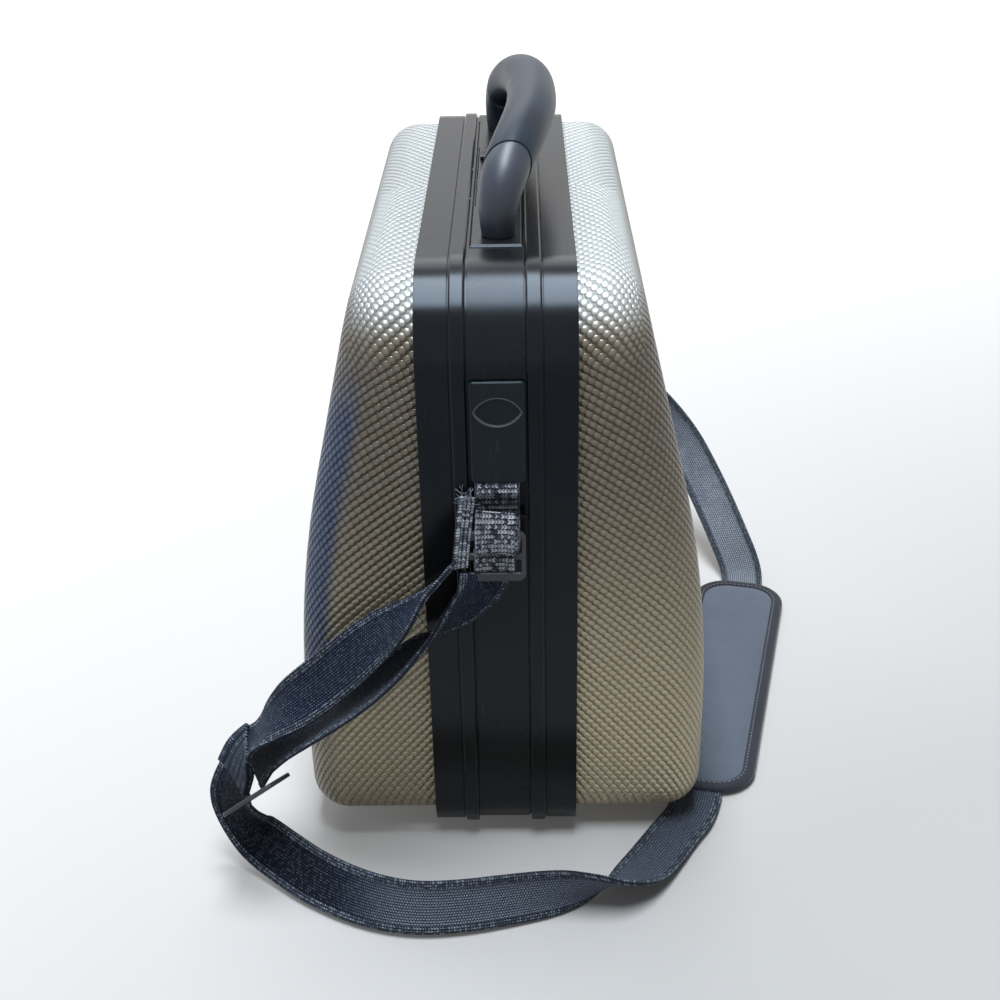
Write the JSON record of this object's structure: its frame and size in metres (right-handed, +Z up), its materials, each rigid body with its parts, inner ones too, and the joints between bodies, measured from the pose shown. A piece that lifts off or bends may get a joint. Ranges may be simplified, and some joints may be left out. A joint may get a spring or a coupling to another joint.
{
  "type": "cosmetic train case",
  "caption": "Upright hard-shell cosmetic train case: textured shells on a black frame, a hinged lid, a tipping carry grip, a slide lock and a webbing shoulder strap with pad.",
  "frame": {"origin": "on the floor below the middle of the case, strap left out", "axes": "+X across the two shells towards the base shell, +Y from the near narrow side to the far one, +Z up"},
  "size_m": [0.372, 0.4706, 0.4056],
  "materials": {
    "shell": "champagne, moulded with fine overlapping scales",
    "frame": "black, semi-gloss",
    "lining": "charcoal flocked cloth",
    "hinge_steel": "plated steel",
    "elastic": "black elastic cloth",
    "plate": "black, fine satin",
    "grip_rubber": "dark grey-blue, satin",
    "foot_plastic": "dark grey-blue, satin",
    "webbing": "navy-charcoal woven webbing",
    "buckle_plastic": "dark grey moulded plastic",
    "pad_cloth": "slate blue-grey ribbed cloth",
    "pad_rubber": "black, matt",
    "dial_plastic": "ivory number wheels",
    "mirror_glass": "silvered glass"
  },
  "bodies": {
    "base": {"base_shell": "shell", "base_frame": "frame", "near_upper_strip": "frame", "near_lower_strip": "frame", "far_upper_strip": "frame", "far_lower_strip": "frame", "near_anchor_plate": "frame", "far_anchor_plate": "frame", "base_lining": "lining", "base_hinge_knuckles": "hinge_steel", "hinge_pins": "hinge_steel", "handle_pivot_pins": "hinge_steel", "handle_foot_screws": "hinge_steel", "near_anchor_bar": "hinge_steel", "far_anchor_bar": "hinge_steel", "dial_axle": "hinge_steel", "bottle_band": "elastic", "handle_plate": "plate", "lock_housing": "plate", "near_handle_foot": "foot_plastic", "far_handle_foot": "foot_plastic", "near_webbing_loop": "webbing", "far_webbing_loop": "webbing", "strap_upper_layer": "webbing", "strap_lower_layer": "webbing", "strap_free_end": "webbing", "strap_front": "webbing", "strap_rear": "webbing", "near_buckle": "buckle_plastic", "far_buckle": "buckle_plastic", "strap_adjuster": "buckle_plastic", "shoulder_pad": "pad_cloth", "shoulder_pad_backing": "pad_rubber"},
    "lid": {"lid_shell": "shell", "lid_frame": "frame", "lid_lining": "lining", "lid_seal": "pad_rubber", "lid_mirror": "mirror_glass", "mirror_frame": "plate", "lid_pocket": "elastic", "lid_hinge_knuckles": "hinge_steel", "catch_pegs": "hinge_steel"},
    "grip": {"handle_grip": "grip_rubber"},
    "lock_slide": {"lock_slide_bar": "hinge_steel", "lock_button": "buckle_plastic"},
    "dial_1": {"dial_1": "dial_plastic"},
    "dial_2": {"dial_2": "dial_plastic"},
    "dial_3": {"dial_3": "dial_plastic"}
  },
  "joints": [
    {"name": "lid_hinge", "type": "hinge", "parent": "base", "child": "lid", "pos_m": [-0.0155, 0, 0.0035], "axis": [0, -1, 0], "range_deg": [0, 95]},
    {"name": "grip_tilt", "type": "hinge", "parent": "base", "child": "grip", "pos_m": [0.00585, 0, 0.3771], "axis": [0, 1, 0], "range_deg": [-89, 0]},
    {"name": "lock_slide", "type": "slide", "parent": "base", "child": "lock_slide", "axis": [0, 1, 0], "range_m": [0, 0.007]},
    {"name": "dial_1_turn", "type": "hinge", "parent": "base", "child": "dial_1", "pos_m": [0.0055, -0.007, 0.3415], "axis": [0, 1, 0], "continuous": true},
    {"name": "dial_2_turn", "type": "hinge", "parent": "base", "child": "dial_2", "pos_m": [0.0055, 0, 0.3415], "axis": [0, 1, 0], "continuous": true},
    {"name": "dial_3_turn", "type": "hinge", "parent": "base", "child": "dial_3", "pos_m": [0.0055, 0.007, 0.3415], "axis": [0, 1, 0], "continuous": true}
  ]
}
